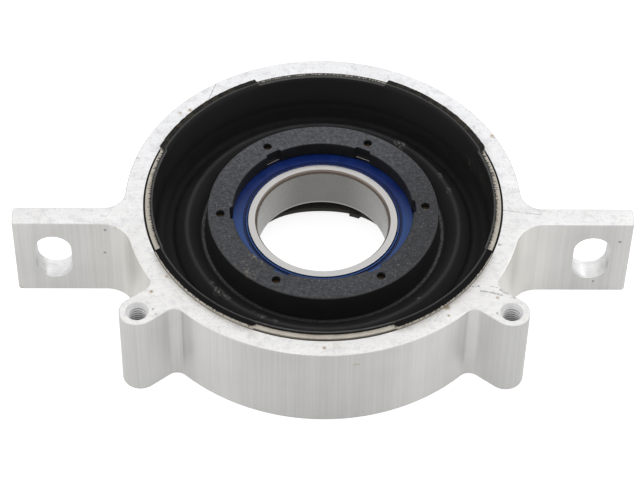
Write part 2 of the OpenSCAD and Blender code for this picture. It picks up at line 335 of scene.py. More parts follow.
# Marks on the housing's upper end face: scratches from point to point, dark dots and brown stains
FACE_SCRATCHES = [
    ((45.9, -35.4, TOP), (48.6, -35.8, TOP), 0.5),
    ((48.6, -35.8, TOP), (51.9, -36.9, TOP), 0.5),
    ((51.6, -34.8, TOP), (52.7, -35.9, TOP), 0.5),
    ((52.7, -35.9, TOP), (53.8, -36.5, TOP), 0.4),
    ((55.1, -37.7, TOP), (55.8, -38.2, TOP), 0.4),
    ((42.9, -33.7, TOP), (45.3, -33.5, TOP), 0.25),
    ((48.7, -33.4, TOP), (51.0, -34.1, TOP), 0.2),
    ((-57.3, 17.6, TOP), (-56.3, 17.1, TOP), 0.4),
    ((-33.0, 50.7, TOP), (-35.4, 42.7, TOP), 0.2),
    ((54.4, -3.6, TOP), (65.2, -5.4, TOP), 0.2),
]
FACE_DOTS = [
    ((-49.9, -42.5, TOP), 0.35),
    ((-49.0, -44.3, TOP), 0.25),
    ((50.2, -43.8, TOP), 0.35),
    ((45.3, -33.5, TOP), 0.35),
    ((52.3, -17.4, TOP), 0.4),
]
FACE_STAINS = [
    ((-50.6, -35.9, TOP), 0.5, 0.7),
    ((50.7, -37.9, TOP), 0.5, 0.7),
    ((-0.2, -56.8, TOP), 0.5, 0.7),
    ((-44.3, 36.6, TOP), 0.5, 0.8),
    ((-41.2, 37.9, TOP), 0.6, 0.8),
    ((46.6, 37.9, TOP), 0.5, 0.8),
    ((52.9, 27.2, TOP), 0.8, 0.8),
    ((35.6, -41.5, TOP), 0.9, 0.7),
    ((36.0, -44.7, TOP), 0.4, 0.7),
    ((-46.3, -30.0, TOP), 0.5, 0.7),
]


def sawn_look():
    """The housing's end faces: milled aluminium with faint wide arcs, specks and stains, with painted
    reflection that makes them paler and cooler towards the back and warmer in front.
    """
    look = Look("aluminium_milled", Metallic=0.4, Specular_IOR_Level=0.2)
    sweep_r = 0.45
    x, y, _ = look.split(look.place)
    dy = look.plus(y, sweep_r)
    sweep = look.length(x, dy)
    turn = look.math("ARCTAN2", x, dy)
    lines = look.noise(look.joined(sweep, look.times(turn, 0.025), 0.0), 1500, 2, 0.6)
    coarse = look.noise(look.joined(sweep, look.times(turn, 0.05), 0.0), 320, 2, 0.5)
    dents = look.noise(look.place, 900, 2, 0.5)
    shade = look.plus(
        look.ramp(lines, 0.3, 0.7, -0.025, 0.025),
        look.ramp(coarse, 0.35, 0.65, -0.015, 0.015),
        look.speckle(90, 4, 0.6, 0.3, 0.7, -0.02, 0.03),
    )
    # Painted reflection: brighter and cooler towards the back, warmer towards the front.
    tone = look.plus(look.ramp(y, -0.05, 0.05, 0.885, 0.945), shade)
    tint_and_light = look.mix(look.ramp(y, -0.05, 0.05), (1.0, 0.993, 0.978), (1.0, 1.003, 1.02))
    face = look.scale(tint_and_light, tone)
    smudge = look.times(look.speckle(170, 4, 0.7, 0.52, 0.7), look.ramp(y, -0.05, -0.02, 0.34, 0.16))
    face = look.mix(smudge, face, (0.62, 0.56, 0.46))
    patch = look.times(look.speckle(420, 4, 0.7, 0.5, 0.66), 0.42)
    face = look.mix(patch, face, (0.64, 0.64, 0.675))
    grit = look.times(look.speckle(1300, 3, 0.7, 0.5, 0.7), 0.35)
    face = look.mix(grit, face, (0.6, 0.6, 0.62))
    pits = look.times(look.ramp(dents, 0.7, 0.78), 0.6)
    marks = look.most(pits, look.strokes(FACE_SCRATCHES))
    broken = look.times(marks, look.speckle(1400, 2, 0.55, 0.3, 0.55))
    face = look.mix(look.times(look.most(broken, look.spots(FACE_DOTS)), 0.6), face, (0.2, 0.2, 0.21))
    stains = look.times(look.spots(FACE_STAINS), look.speckle(1100, 3, 0.6, 0.3, 0.6, 0.25, 0.85))
    look.colour(look.mix(stains, face, (0.38, 0.27, 0.15)))
    look.roughness(look.ramp(lines, 0.3, 0.7, 0.48, 0.6))
    look.bump(look.plus(lines, look.times(dents, 0.5)), 0.01, 0.5)
    return look.material


# Marks on the housing's walls: dark dots, brown stains and brown streaks
WALL_DOTS = [
    ((-65.5, EAR_FRONT, 13.5), 0.45),
    ((-66.1, EAR_FRONT, 3.1), 0.4),
    ((89.8, EAR_FRONT, 8.7), 0.45),
    ((83.4, EAR_FRONT, -9.7), 0.4),
]
WALL_STAINS = [
    ((-62.0, -10.2, 15.4), 0.7),
    ((-92.5, EAR_FRONT, -13.8), 0.6),
]
WALL_STREAKS = [
    ((8.2, -59.3, 11.5), (9.8, -59.2, 11.5), 0.4),
    ((-93.3, EAR_FRONT, 3.3), (-93.3, EAR_FRONT, -2.6), 0.5),
]


def drawn_look():
    """The housing's extruded walls: satin aluminium with lines along the shaft, a base tone darker than
    the end faces as painted shade, painted light and shade over the walls and painted shade in the bore.
    """
    look = Look("aluminium_extruded", Metallic=0.8)
    x, y, z = look.split(look.place)
    side = look.math("ABSOLUTE", x)
    fine = look.noise(look.scaled(1, 1, 0.012), 1800, 2, 0.6)
    wide = look.noise(look.scaled(1, 1, 0.02), 240, 3, 0.6)
    upright = look.ramp(look.split(look.normal)[2], 0.02, 0.3, 1, 0)
    # Painted light and shade beside the right ear: lighter in the fillet, a little darker further to the
    # front, only on upright faces.
    saddle_light = look.times(look.window(x, 0.048, 0.072, 0.006), look.ramp(y, -0.045, -0.035, -0.04, 0.07))
    # Painted light: the front wall on the left is made lighter.
    front = look.times(look.window(x, -0.048, -0.026, 0.008), look.ramp(y, -0.048, -0.044, 1, 0))
    shade = look.plus(
        look.ramp(fine, 0.3, 0.7, -0.03, 0.03),
        look.ramp(wide, 0.3, 0.7, -0.014, 0.014),
        look.speckle(60, 3, 0.5, 0.3, 0.7, -0.015, 0.015),
        # Painted light and shade: lighter at the ear ends and on the right, darker in the middle of the
        # front and back walls.
        look.ramp(side, 0.086, 0.091, 0, 0.03),
        look.ramp(side, 0.0, 0.04, -0.04, 0.03),
        look.times(look.window(x, 0.022, 0.046, 0.006), 0.06),
        look.times(saddle_light, upright),
        look.times(front, 0.06),
        # Painted shade: a dark line along the walls' lower edge.
        look.ramp(z, -0.0139, -0.0134, -0.12, 0.0),
    )
    # Painted light: the hollows where the ears meet the ring at the front are made lighter and warmer.
    lit_hollow = look.times(look.window(y, -0.036, -0.0105, 0.004), look.window(side, 0.05, 0.07, 0.004))
    tint_and_light = look.mix(lit_hollow, (1.0, 0.992, 0.97), (1.2, 1.18, 1.12))
    # Painted shade: the walls' base tone is set darker than the end faces of the same aluminium.
    wall = look.scale(tint_and_light, look.plus(0.58, shade))
    wall = look.mix(look.times(look.spots(WALL_DOTS), 0.7), wall, (0.12, 0.12, 0.13))
    stains = look.most(look.spots(WALL_STAINS), look.strokes(WALL_STREAKS))
    wall = look.mix(look.times(stains, 0.5), wall, (0.36, 0.27, 0.11))
    # Painted shade: the housing's bore, in the gap behind the sleeve, is made nearly black.
    bore = look.ramp(look.radius(), BORE_R * MM, (BORE_R + 0.15) * MM, 1, 0)
    look.colour(look.mix(bore, wall, (0.03, 0.03, 0.03)))
    look.roughness(look.ramp(fine, 0.3, 0.7, 0.34, 0.46))
    look.bump(look.plus(fine, look.times(wide, 0.5)), 0.02, 0.5)
    return look.material


def machined_look():
    """Cut walls of the slots: aluminium with tool lines, and painted light that makes them brightest where
    they face up.
    """
    look = Look("aluminium_machined", Metallic=0.8)
    lines = look.noise(look.scaled(0.15, 1, 0.4), 2600, 2, 0.6)
    cloud = look.speckle(400, 2, 0.5, 0.3, 0.7, -0.04, 0.04)
    # Painted light: lighter where the surface faces up.
    top_light = look.ramp(look.split(look.normal)[2], 0.0, 0.9, 0.63, 0.89)
    look.grey(look.plus(top_light, look.plus(look.ramp(lines, 0.3, 0.7, -0.07, 0.07), cloud)))
    look.roughness(look.ramp(lines, 0.3, 0.7, 0.3, 0.45))
    look.bump(lines, 0.015, 0.5)
    return look.material


def thread_look():
    """The threaded holes: pale countersinks and threads with painted shade that darkens them towards their
    roots.
    """
    look = Look("aluminium_thread", Metallic=0.25, Roughness=0.5)
    x, y, z = look.split(look.place)
    dx = look.minus(look.math("ABSOLUTE", x), BOSS_X * MM)
    dy = look.minus(y, BOSS_Y * MM)
    inside = look.window(z, (BOTTOM + 1.8) * MM, (TOP - 1.8) * MM, 0.0001)
    # Painted shade: darker towards the thread roots inside the hole.
    root_shade = look.times(look.ramp(look.length(dx, dy), 0.00262, 0.0029), inside)
    grain = look.speckle(1600, 3, 0.6, 0.3, 0.7, -0.05, 0.05)
    look.grey(look.plus(look.minus(0.9, look.times(root_shade, 0.62)), grain))
    return look.material


def torn_edge(look, coat, patch):
    """The sleeve's coat, with dirt at the bond, dark rubber torn over its rim and painted shade on its
    neck in the gap to the housing.
    """
    rim_r = 0.054
    r = look.radius()
    x, y, z = look.split(look.place)
    around = look.times(look.angle(), rim_r)
    edge = look.ramp(r, 0.0522, 0.0529, 0.6, 0)
    coat = look.mix(look.times(edge, look.ramp(patch, 0.35, 0.6)), coat, (0.22, 0.15, 0.08))
    teeth = look.noise(look.joined(around, look.times(r, 0.25), 0.0), 1900, 3, 0.65)
    cover = look.plus(
        look.ramp(teeth, 0.4, 0.7, -0.0003, 0.0009),
        look.ramp(y, -0.01, 0.045, 0, 0.0013),
        look.ramp(y, -0.048, -0.04, -0.0005, 0),
    )
    torn = look.ramp(look.minus(r, cover), 0.05225, 0.0524, 1, 0)
    # Painted shade: the neck, in the narrow gap between the sleeve and the housing's bore, is made dark.
    neck = look.times(
        look.ramp(z, 0.0153, 0.0158, 1, 0),
        look.window(r, 0.0534, 0.054, 0.0001),
        look.ramp(y, -0.04, -0.01, 0.5, 1),
    )
    path = look.plus(look.minus(r, 0.0536), look.minus(0.01735, z))
    hairs = look.noise(look.joined(around, look.times(path, 0.25), 0.01), 1900, 3, 0.65)
    reach = look.plus(
        look.ramp(hairs, 0.42, 0.68, -0.0003, 0.0014),
        look.ramp(x, -0.02, 0.03, 0.0001, 0.0008),
    )
    ragged = look.times(look.ramp(look.minus(path, reach), 0, 0.00012, 1, 0), look.ramp(z, 0.0164, 0.0166))
    # Colour of the torn rubber and of the painted shade on the neck, browner in front.
    soot_and_shade = look.mix(look.ramp(y, -0.048, -0.04), (0.16, 0.135, 0.105), (0.03, 0.028, 0.025))
    return look.mix(look.most(torn, neck, ragged), coat, soot_and_shade)


def coated_look(name, base, residue):
    """Cream phosphate coat on steel, with torn rubber and painted shade at the neck on it if asked."""
    look = Look(name, Metallic=0.2)
    grain = look.noise(look.place, 2200, 3, 0.6)
    patch = look.noise(look.place, 260, 4, 0.65)
    coat = look.mix(look.ramp(patch, 0.35, 0.65), base, tuple(c * 0.85 for c in base))
    coat = look.mix(look.ramp(grain, 0.55, 0.75, 0, 0.35), coat, (0.3, 0.22, 0.13))
    look.colour(torn_edge(look, coat, patch) if residue else coat)
    look.roughness(look.ramp(grain, 0.3, 0.7, 0.42, 0.58))
    look.bump(look.plus(grain, patch), 0.02, 0.4)
    return look.material


# Dry dirt on the rubber's walls and hub, and crumbs in the valley beside the hub
GRIME = [
    ((-14.0, -48.6, 9.0), 3.0, 0.6),
    ((46.5, 22.0, 9.0), 3.0, 0.6),
    ((49.3, 14.5, 9.5), 3.5, 0.6),
    ((38.3, 1.9, 6.0), 1.4, 0.6),
    ((-20.9, -18.6, 11.8), 1.2, 0.6),
    ((-18.6, -21.4, 11.8), 1.5, 0.6),
    ((-24.4, -22.2, 11.8), 1.6, 0.6),
    ((-22.0, -25.6, 11.8), 1.8, 0.6),
]
CRUMBS = [
    ((-33.1, -24.0, 5.8), 0.9),
    ((-31.2, -26.9, 5.8), 1.6),
    ((-28.7, -29.2, 5.8), 1.2),
    ((-18.2, -36.4, 5.8), 1.1),
    ((-20.6, -34.8, 5.8), 0.7),
    ((-14.1, -38.6, 5.8), 1.0),
    ((36.7, 19.9, 6.1), 0.9),
    ((39.2, 13.5, 6.0), 1.0),
    ((24.9, 33.4, 6.0), 1.9),
    ((28.3, -29.5, 5.6), 0.6),
]


def bare_rubber(look, cloud):
    """Colour of the clean moulding, with painted light on the far wall, the flanks, the hub's side and the
    crest, painted shade at the wall's foot, and the shares of its matt surface and of its laps over the
    tabs.
    """
    r = look.radius()
    _, y, z = look.split(look.place)
    tone = look.mix(look.ramp(cloud, 0.3, 0.7), (0.0135, 0.0135, 0.014), (0.0185, 0.0185, 0.019))
    # Painted light: the far part of the outer wall is made lighter.
    far_wall_light = look.times(look.ramp(y, 0.0, 0.045), look.ramp(r, 0.0495, 0.0508))
    tone = look.mix(far_wall_light, tone, (0.026, 0.026, 0.0262))
    # Painted light: the lobe's flanks are made lighter at the left and right and partly at the front,
    # below the crest.
    lit_sides = look.plus(look.window(y, -0.028, 0.018, 0.012), look.ramp(y, -0.04, -0.02, 0.4, 0.0))
    flank_light = look.times(look.window(r, 0.0374, 0.045, 0.0006), lit_sides, look.ramp(z, 0.007, 0.008, 1, 0))
    tone = look.mix(flank_light, tone, (0.034, 0.034, 0.035))
    # Painted light: the hub's outer wall is made lighter.
    hub_side_light = look.times(look.window(r, 0.0348, 0.0362, 0.0002), look.window(z, 0.003, 0.0112, 0.0003))
    tone = look.mix(look.times(hub_side_light, 0.6), tone, (0.026, 0.026, 0.027))
    # Painted highlight along the lobe's crest.
    crest_highlight = look.times(
        look.window(r, 0.0411, 0.0419, 0.0005),
        look.ramp(z, 0.0055, 0.006),
        look.ramp(cloud, 0.3, 0.7, 0.4, 1.0),
    )
    tone = look.mix(crest_highlight, tone, (0.047, 0.047, 0.051))
    # Painted shade at the foot of the outer wall, deeper towards the back; the same mask makes the foot
    # matt.
    foot = look.times(look.window(r, 0.0474, 0.0511, 0.001), look.ramp(z, 0.0055, 0.008, 1, 0))
    tone = look.mix(look.times(foot, look.ramp(y, -0.02, 0.03, 0.4, 0.8)), tone, (0.004, 0.004, 0.004))
    lap = look.times(look.window(r, 0.0526, 0.0549, 0.0001), look.ramp(z, 0.0169, 0.0171))
    lap_tone = look.mix(look.ramp(y, -0.02, 0.02), (0.007, 0.007, 0.007), (0.018, 0.018, 0.017))
    tone = look.mix(lap, tone, lap_tone)
    matt = look.most(lap, look.times(foot, look.ramp(y, 0.0, 0.035, 0.2, 0.85)))
    return tone, matt, lap


def dusty_rubber(look, tone, spread):
    """Dust on the hub's face, the rims and the flash, painted highlight along the rims, with the shares of
    the face and of its dust.
    """
    r = look.radius()
    x, y, z = look.split(look.place)
    upward = look.ramp(look.split(look.normal)[2], 0.55, 0.9)
    face = look.times(look.window(r, 0.0276, 0.0351, 0.0002), upward, look.ramp(z, 0.0115, 0.0118))
    depth = look.plus(look.ramp(y, 0.0, 0.03, 0.7, 1.0), look.ramp(x, 0.01, 0.03, 0.0, -0.2))
    dust = look.times(face, look.times(depth, look.ramp(spread, 0.3, 0.7, 0.3, 0.95)))
    tone = look.mix(dust, tone, (0.13, 0.133, 0.147))
    specks = look.times(look.speckle(1900, 2, 0.6, 0.62, 0.72), face, 0.7)
    tone = look.mix(specks, tone, (0.28, 0.28, 0.26))
    brink = look.times(look.window(r, 0.0347, 0.0353, 0.0001), look.ramp(z, 0.0113, 0.0116), 0.8)
    rim = look.times(look.window(r, 0.0514, 0.0524, 0.0002), upward, look.ramp(z, 0.0164, 0.0167))
    # The pale hub brink and rim: partly dust, partly painted highlight along these edges.
    pale = look.times(look.most(brink, rim), look.ramp(spread, 0.3, 0.7, 0.5, 1.0))
    tone = look.mix(pale, tone, (0.1, 0.1, 0.1))
    ridge = look.times(
        look.window(r, 0.0361, 0.037, 0.0001),
        look.window(z, 0.0028, 0.0039, 0.0001),
        look.speckle(1300, 3, 0.75, 0.35, 0.6, 0.2, 1.0),
        look.ramp(y, -0.036, -0.01, 0.3, 1.0),
    )
    tone = look.mix(ridge, tone, (0.13, 0.13, 0.13))
    return tone, face, dust


def dirty_rubber(look, tone, face, lap):
    """Grime, crumbs, dirt in the pin holes, soil on the laps at the back and a pale lower lip."""
    r = look.radius()
    _, y, z = look.split(look.place)
    grime = look.times(look.spots(GRIME), look.speckle(900, 4, 0.75, 0.52, 0.66), 0.75)
    tone = look.mix(grime, tone, look.mix(face, (0.13, 0.105, 0.075), (0.3, 0.265, 0.2)))
    crumbs = look.times(look.spots(CRUMBS), look.speckle(1300, 4, 0.75, 0.48, 0.6), 0.85)
    tone = look.mix(crumbs, tone, (0.25, 0.24, 0.215))
    pits = look.times(look.window(r, 0.0295, 0.0329, 0.0002), look.window(z, 0.0095, 0.0103, 0.0002))
    tone = look.mix(pits, tone, (0.16, 0.11, 0.065))
    soil = look.times(lap, look.ramp(y, 0.0, 0.03, 0.0, 0.7), look.speckle(600, 4, 0.7, 0.45, 0.62))
    tone = look.mix(soil, tone, (0.06, 0.05, 0.038))
    lip = look.times(look.ramp(r, 0.0245, 0.025, 1, 0), look.ramp(z, -0.0105, -0.01, 1, 0), 0.8)
    return look.mix(lip, tone, (0.085, 0.08, 0.07))


def rubber_look():
    """Moulded black rubber: satin, with painted light and shade, and with dust and dry dirt that stay in
    place as the rubber bends.
    """
    look = Look("rubber_black", Specular_IOR_Level=0.1)
    look.place = look.node("ShaderNodeAttribute", attribute_name=REST_PLACE).outputs["Vector"]
    grain = look.noise(look.place, 2600, 2, 0.5)
    cloud = look.noise(look.place, 170, 4, 0.65)
    spread = look.noise(look.place, 900, 4, 0.8)
    tone, matt, lap = bare_rubber(look, cloud)
    tone, face, dust = dusty_rubber(look, tone, spread)
    look.colour(dirty_rubber(look, tone, face, lap))
    worn = look.plus(look.ramp(cloud, 0.3, 0.7, 0.4, 0.52), look.times(dust, 0.16))
    look.roughness(look.plus(worn, look.times(matt, 0.4)))
    look.bump(look.plus(grain, look.times(spread, 0.8)), 0.03, 0.35)
    return look.material


def seal_look():
    """Blue nitrile seal: satin, with painted light that makes it paler in front, faint rings from the
    mould and painted shade in the groove and at its outer edge.
    """
    look = Look("seal_blue", Specular_IOR_Level=0.25)
    r = look.radius()
    rings = look.noise(look.joined(r, look.times(look.angle(), 0.002), 0.0), 2200, 2, 0.5)
    cloud = look.noise(look.place, 240, 3, 0.6)
    tone = look.mix(look.ramp(cloud, 0.3, 0.7), (0.005, 0.02, 0.13), (0.009, 0.029, 0.165))
    # Painted light: the seal is made paler towards the front.
    near = look.ramp(look.split(look.place)[1], -0.006, 0.014, 1, 0)
    tone = look.mix(near, tone, (0.036, 0.088, 0.28))
    # Painted shade in the groove beside the lip and at the seal's outer edge.
    groove = look.times(look.window(r, 0.02352, 0.02435, 0.00008), 0.8)
    shaded = look.most(groove, look.ramp(r, 0.0274, 0.0276))
    look.colour(look.mix(shaded, tone, (0.003, 0.008, 0.04)))
    look.roughness(look.ramp(cloud, 0.3, 0.7, 0.28, 0.38))
    look.bump(rings, 0.015, 0.3)
    return look.material


def steel_look(name, base, low, high, stain):
    """Ground bearing steel with fine rings, and with browned chamfers and painted shade in the bore,
    lighter at its sides as painted reflection, if asked.
    """
    look = Look(name, Metallic=1.0)
    r = look.radius()
    x, _, z = look.split(look.place)
    rings = look.noise(look.joined(r, look.times(look.angle(), 0.0015), z), 3200, 2, 0.6)
    cloud = look.noise(look.place, 320, 3, 0.6)
    tone = look.mix(look.ramp(rings, 0.3, 0.7), tuple(c * 0.94 for c in base), base)
    if stain:
        lean = look.math("ABSOLUTE", look.split(look.normal)[2])
        chamfer = look.times(look.window(lean, 0.2, 0.93, 0.06), look.ramp(r, 0.0209, 0.0211, 1, 0))
        tone = look.mix(look.times(chamfer, 0.95), tone, (0.2, 0.155, 0.125))
        look.feed(look.shader.inputs["Metallic"], look.ramp(chamfer, 0, 1, 1.0, 0.3))
        # Painted shade in the bore, with painted reflection that makes it lighter at the sides.
        wall = look.times(look.ramp(lean, 0.1, 0.25, 1, 0), look.ramp(r, 0.02005, 0.0202, 1, 0))
        lit_sides = look.ramp(look.math("ABSOLUTE", x), 0.006, 0.019)
        tone = look.mix(wall, tone, look.mix(lit_sides, (0.218, 0.215, 0.205), (0.375, 0.37, 0.357)))
        brim = look.times(wall, look.window(z, -0.0068, -0.0063, 0.0001), 0.7)
        tone = look.mix(brim, tone, (0.5, 0.495, 0.48))
    look.colour(tone)
    look.roughness(look.ramp(cloud, 0.3, 0.7, low, high))
    look.bump(rings, 0.006, 0.4)
    return look.material


def outline_loops(obj, height):
    """Closed outlines of a CAD node's flat faces at a height, material on the left, in millimetres."""
    bm = bmesh.new()
    bm.from_mesh(obj.data)
    bmesh.ops.remove_doubles(bm, verts=bm.verts, dist=1e-7)
    flat = {f for f in bm.faces if all(abs(v.co.z - height * MM) < 1e-6 for v in f.verts)}
    follow = {}
    for f in flat:
        for edge_loop in f.loops:
            if sum(g in flat for g in edge_loop.edge.link_faces) == 1:
                follow[edge_loop.vert] = edge_loop.link_loop_next.vert
    loops = []
    while follow:
        start, here = follow.popitem()
        chain = [start]
        while here is not start:
            chain.append(here)
            here = follow.pop(here)
        loops.append([(v.co.x / MM, v.co.y / MM) for v in chain])
    bm.free()
    return loops


def cleaned(points, least=0.06):
    """Outline without points that lie closer together than the least distance."""
    out = []
    for p in points:
        if not out or math.dist(p, out[-1]) > least:
            out.append(p)
    if math.dist(out[0], out[-1]) <= least:
        out.pop()
    return out


def inset(points, distance):
    """Outline moved to its left by a distance."""
    moved = []
    total = len(points)
    for i, p in enumerate(points):
        a, b = Vector(points[i - 1]), Vector(points[(i + 1) % total])
        here = Vector(p)
        d1, d2 = (here - a).normalized(), (b - here).normalized()
        n1, n2 = Vector((-d1.y, d1.x)), Vector((-d2.y, d2.x))
        mid = (n1 + n2).normalized()
        moved.append(tuple(here + mid * distance / max(mid.dot(n1), 0.5)))
    return moved


def ring_of(bm, points):
    return [bm.verts.new([c * MM for c in p]) for p in points]


def strip(bm, ring, other, index, skip=()):
    """Faces between two rings, apart from those to skip."""
    for i in range(len(ring)):
        k = (i + 1) % len(ring)
        if i not in skip:
            bm.faces.new((ring[i], other[i], other[k], ring[k])).material_index = index


def skin(bm, rings, index):
    """Strips from each ring to the next."""
    for ring, other in zip(rings, rings[1:]):
        strip(bm, ring, other, index)


def closed_edges(bm, ring):
    edges = []
    for i in range(len(ring)):
        pair = (ring[i], ring[(i + 1) % len(ring)])
        edges.append(bm.edges.get(pair) or bm.edges.new(pair))
    return edges


def fill(bm, rings, normal, index):
    """Flat face inside the first ring and outside the others."""
    edges = [e for ring in rings for e in closed_edges(bm, ring)]
    made = bmesh.ops.triangle_fill(bm, use_beauty=True, use_dissolve=False, edges=edges, normal=normal)
    for item in made["geom"]:
        if isinstance(item, bmesh.types.BMFace):
            item.material_index = index


def rounding(edge, count=3):
    """Steps of a rounded edge as (inset, depth) pairs from the flat face down."""
    angles = [math.pi / 2 * k / count for k in range(count + 1)]
    return [(edge * (1 - math.sin(a)), edge * (1 - math.cos(a))) for a in angles]


def wall_rings(bm, points, edge):
    """Rings of an extruded outline from its upper end to its lower one, with rounded edges."""
    stack = []
    for gap, depth in rounding(edge):
        stack.append(ring_of(bm, [(x, y, TOP - depth) for x, y in inset(points, gap)]))
    for gap, depth in reversed(rounding(edge)):
        stack.append(ring_of(bm, [(x, y, BOTTOM + depth) for x, y in inset(points, gap)]))
    return stack


def ear_panels(points):
    """Long sides of the ears in an outline, as (side, y) by the index of their first point."""
    near, shortest = 0.02, 2 * SLOT_R + 4
    panels = {}
    for i, p in enumerate(points):
        q = points[(i + 1) % len(points)]
        on_ear = any(abs(p[1] - y) < near and abs(q[1] - y) < near for y in (EAR_REAR, EAR_FRONT))
        if on_ear and math.dist(p, q) > shortest:
            panels[i] = (math.copysign(1, p[0] + q[0]), p[1])
    return panels


def slot_outline(side, grow):
    """Slot in the plane of an ear as (x, z) points."""
    x = side * SLOT_X
    upper = arc((x, SLOT_Z + SLOT_HALF), SLOT_R + grow, 0, 180, 25)
    lower = arc((x, SLOT_Z - SLOT_HALF), SLOT_R + grow, 180, 360, 25)
    return upper + lower


def slot_wall(bm, side, front, rear, edge, index):
    """Wall of an ear's slot between its two mouths, with rounded edges."""
    rings = [front]
    for gap, depth in rounding(edge)[1:]:
        rings.append(ring_of(bm, [(x, EAR_FRONT + depth, z) for x, z in slot_outline(side, gap)]))
    for gap, depth in reversed(rounding(edge)[1:]):
        rings.append(ring_of(bm, [(x, EAR_REAR - depth, z) for x, z in slot_outline(side, gap)]))
    skin(bm, rings + [rear], index)


def threaded_hole(bm, side, index):
    """Wall of an M6 hole with a helical thread and a countersink at each end; gives its end rings."""
    count, per_pitch, pitch = 40, 10, 1.0
    minor, depth, mouth, slope = 2.5, 0.42, 3.4, 0.43
    rows = int((TOP - BOTTOM) / pitch * per_pitch)
    rings = []
    for row in range(rows + 1):
        z = TOP - (TOP - BOTTOM) * row / rows
        cone = mouth - min(TOP - z, z - BOTTOM) * slope
        points = []
        for k in range(count):
            turn = 2 * math.pi * k / count
            phase = (z / pitch + k / count) % 1
            wave = min(max(abs(2 * phase - 1) * 1.3 - 0.15, 0), 1)
            r = max(minor + depth * wave, cone)
            points.append((side * BOSS_X + r * math.cos(turn), BOSS_Y + r * math.sin(turn), z))
        rings.append(ring_of(bm, points))
    skin(bm, rings, index)
    return rings[0], rings[-1]


def housing_piece():
    """Extruded housing on the CAD outline, with broken edges, slots and threads."""
    milled, drawn, machined, threaded = range(4)
    edge, bore_edge, slot_edge = 0.28, 0.1, 0.1
    outer = max(outline_loops(nodes["housing"], TOP), key=lambda points: max(p[0] for p in points))
    bore = arc((0, 0), BORE_R, 360, 0, 361)[:-1]
    bm = bmesh.new()
    ends = {TOP: [], BOTTOM: []}
    for points, size in ((cleaned(outer), edge), (bore, bore_edge)):
        stack = wall_rings(bm, points, size)
        panels = ear_panels(points)
        middle = len(stack) // 2 - 1
        for k, (ring, other) in enumerate(zip(stack, stack[1:])):
            strip(bm, ring, other, drawn, panels if k == middle else ())
        mouths = {}
        for i, (side, y) in panels.items():
            k = (i + 1) % len(points)
            corners = [stack[middle][i], stack[middle + 1][i], stack[middle + 1][k], stack[middle][k]]
            mouth = ring_of(bm, [(x, y, z) for x, z in slot_outline(side, slot_edge)])
            at = EAR_REAR if round(y, 1) == EAR_REAR else EAR_FRONT
            fill(bm, [corners, mouth], (0, 1 if at == EAR_REAR else -1, 0), drawn)
            mouths[side, at] = mouth
        for side in (-1, 1):
            if (side, EAR_FRONT) in mouths:
                front, rear = mouths[side, EAR_FRONT], mouths[side, EAR_REAR]
                slot_wall(bm, side, front, rear, slot_edge, machined)
        ends[TOP].append(stack[0])
        ends[BOTTOM].append(stack[-1])
    for side in (-1, 1):
        upper, lower = threaded_hole(bm, side, threaded)
        ends[TOP].append(upper)
        ends[BOTTOM].append(lower)
    fill(bm, ends[TOP], (0, 0, 1), milled)
    fill(bm, ends[BOTTOM], (0, 0, -1), milled)
    obj = mesh_object("housing_body", bm, 32)
    for material in (sawn_look(), drawn_look(), machined_look(), thread_look()):
        obj.data.materials.append(material)
    return obj


def sleeve_piece():
    """Steel sleeve with a narrower neck, whose rim rises in four tabs under the rubber."""
    profile = rounded([
        (52.4, SLEEVE_BOTTOM, 0.3, ""),
        (54.05, SLEEVE_BOTTOM, 0.1, ""),
        (SLEEVE_R, SLEEVE_BOTTOM + 0.4, 0.1, ""),
        (SLEEVE_R, NECK_Z - 0.5, 0.1, ""),
        (NECK_R, NECK_Z, 0.1, ""),
        (NECK_R, 15.6, 0.0, "foot"),
        (NECK_R, SLEEVE_TOP - 0.05, 0.15, "brim"),
        (SLEEVE_IR + 0.05, SLEEVE_TOP - 0.05, 0.1, "rim"),
    ])

    def shape(r, z, tag, angle):
        if tag:
            turn = math.radians(angle)
            tab = in_sector(angle, *TAB_SECTORS)
            r += 0.5 * tab * (tag != "rim")
            if tag != "foot":
                z += TAB_RISE * tab + 0.03 * noise.noise((20 * math.cos(turn), 20 * math.sin(turn), 2.3))
        return r, z

    bm = bmesh.new()
    lathe(bm, profile, even_angles(720, *TAB_SECTORS), shape)
    return mesh_object("sleeve_rim", bm)


# The rubber's upper rim: each point between the tabs and the same point over a tab
RIM = {
    "rim_a": ((52.11, 16.0), (54.05, 17.15)),
    "rim_b": ((52.12, 16.7), (54.3, 17.38)),
    "rim_c": ((52.07, 16.93), (54.1, 17.46)),
    "rim_d": ((51.9, 17.0), (52.65, 17.38)),
    "rim_e": ((51.75, 17.0), (52.4, 17.57)),
    "rim_f": ((51.55, 16.93), (52.1, 17.5)),
    "rim_g": ((51.42, 16.7), (51.7, 17.0)),
}


